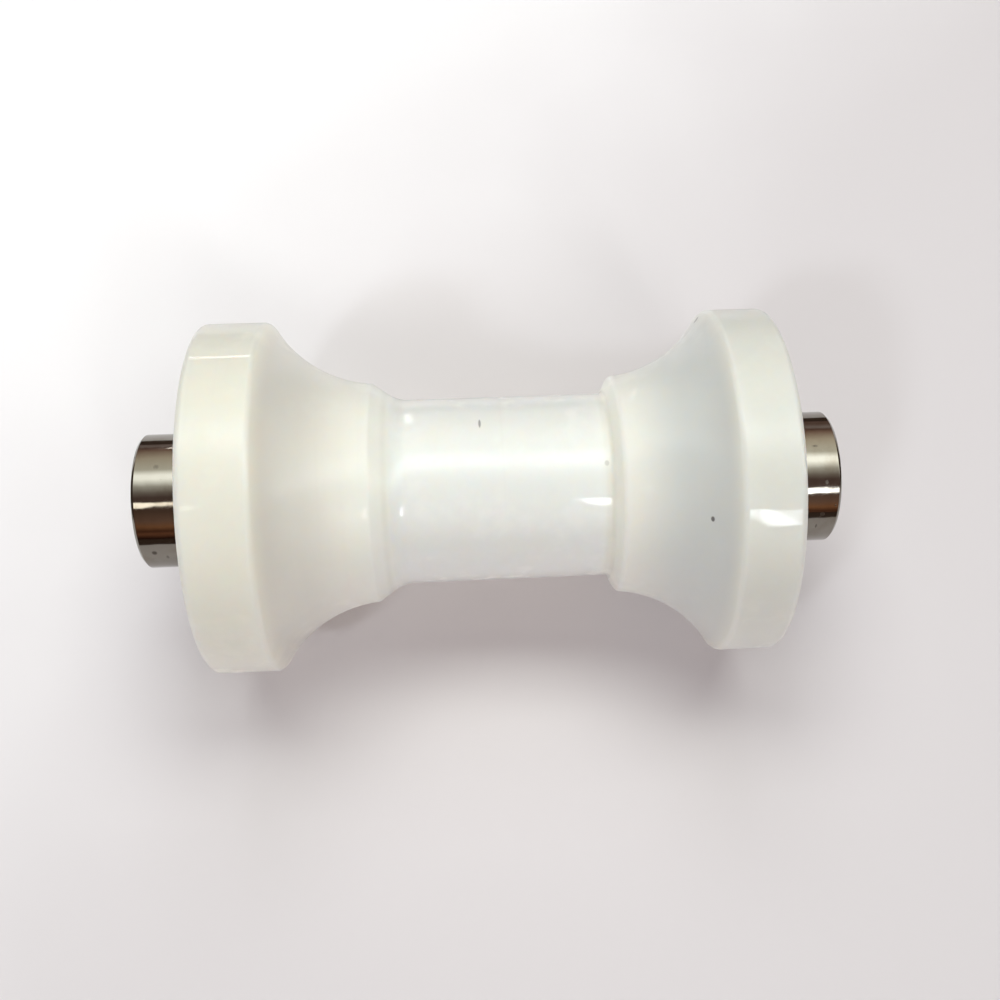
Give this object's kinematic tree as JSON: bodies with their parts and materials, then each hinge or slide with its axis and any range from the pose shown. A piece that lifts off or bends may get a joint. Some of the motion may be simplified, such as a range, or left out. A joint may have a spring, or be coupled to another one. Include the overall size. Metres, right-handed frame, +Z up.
{
  "type": "pulley wheel",
  "caption": "Bobbin-shaped white nylon pulley wheel with a flat-bottomed groove between flared flanges, on sealed ball bearings with polished steel end bushes.",
  "frame": {"origin": "on the spin axis, half way between the outer faces of the two end bushes", "axes": "+Y along the spin axis, towards the end with the steep shoulder; +Z up, across the axis"},
  "size_m": [0.06, 0.1186, 0.06],
  "materials": {
    "nylon": "milky natural nylon, turned, satin flanges and a slightly glossier barrel",
    "polished_steel": "ground and polished steel with a dark chamfered edge",
    "bearing_steel": "ground bearing steel",
    "ball_steel": "lapped bearing balls",
    "cage_plastic": "moulded plastic cage",
    "seal_rubber": "black moulded rubber seal",
    "spacer_steel": "plain drawn steel tube"
  },
  "bodies": {
    "axle": {"end_bush_left": "polished_steel", "end_bush_right": "polished_steel", "spacer_tube": "spacer_steel", "bearing_inner_ring_left": "bearing_steel", "bearing_inner_ring_right": "bearing_steel"},
    "wheel": {"roller_body": "nylon", "bearing_outer_ring_left": "bearing_steel", "bearing_outer_ring_right": "bearing_steel", "bearing_outer_seal_left": "seal_rubber", "bearing_outer_seal_right": "seal_rubber", "bearing_inner_seal_left": "seal_rubber", "bearing_inner_seal_right": "seal_rubber"},
    "ball_set_left": {"bearing_balls_left": "ball_steel", "bearing_cage_left": "cage_plastic"},
    "ball_set_right": {"bearing_balls_right": "ball_steel", "bearing_cage_right": "cage_plastic"}
  },
  "joints": [
    {"name": "wheel_spin", "type": "hinge", "parent": "axle", "child": "wheel", "pos_m": [0, 0, 0], "axis": [0, 1, 0], "continuous": true},
    {"name": "ball_set_left_spin", "type": "hinge", "parent": "axle", "child": "ball_set_left", "pos_m": [0, 0, 0], "axis": [0, 1, 0], "continuous": true},
    {"name": "ball_set_right_spin", "type": "hinge", "parent": "axle", "child": "ball_set_right", "pos_m": [0, 0, 0], "axis": [0, 1, 0], "continuous": true}
  ],
  "couplings": [
    {"joint": "ball_set_left_spin", "follows": "wheel_spin", "ratio": 0.60242},
    {"joint": "ball_set_right_spin", "follows": "wheel_spin", "ratio": 0.60242}
  ]
}
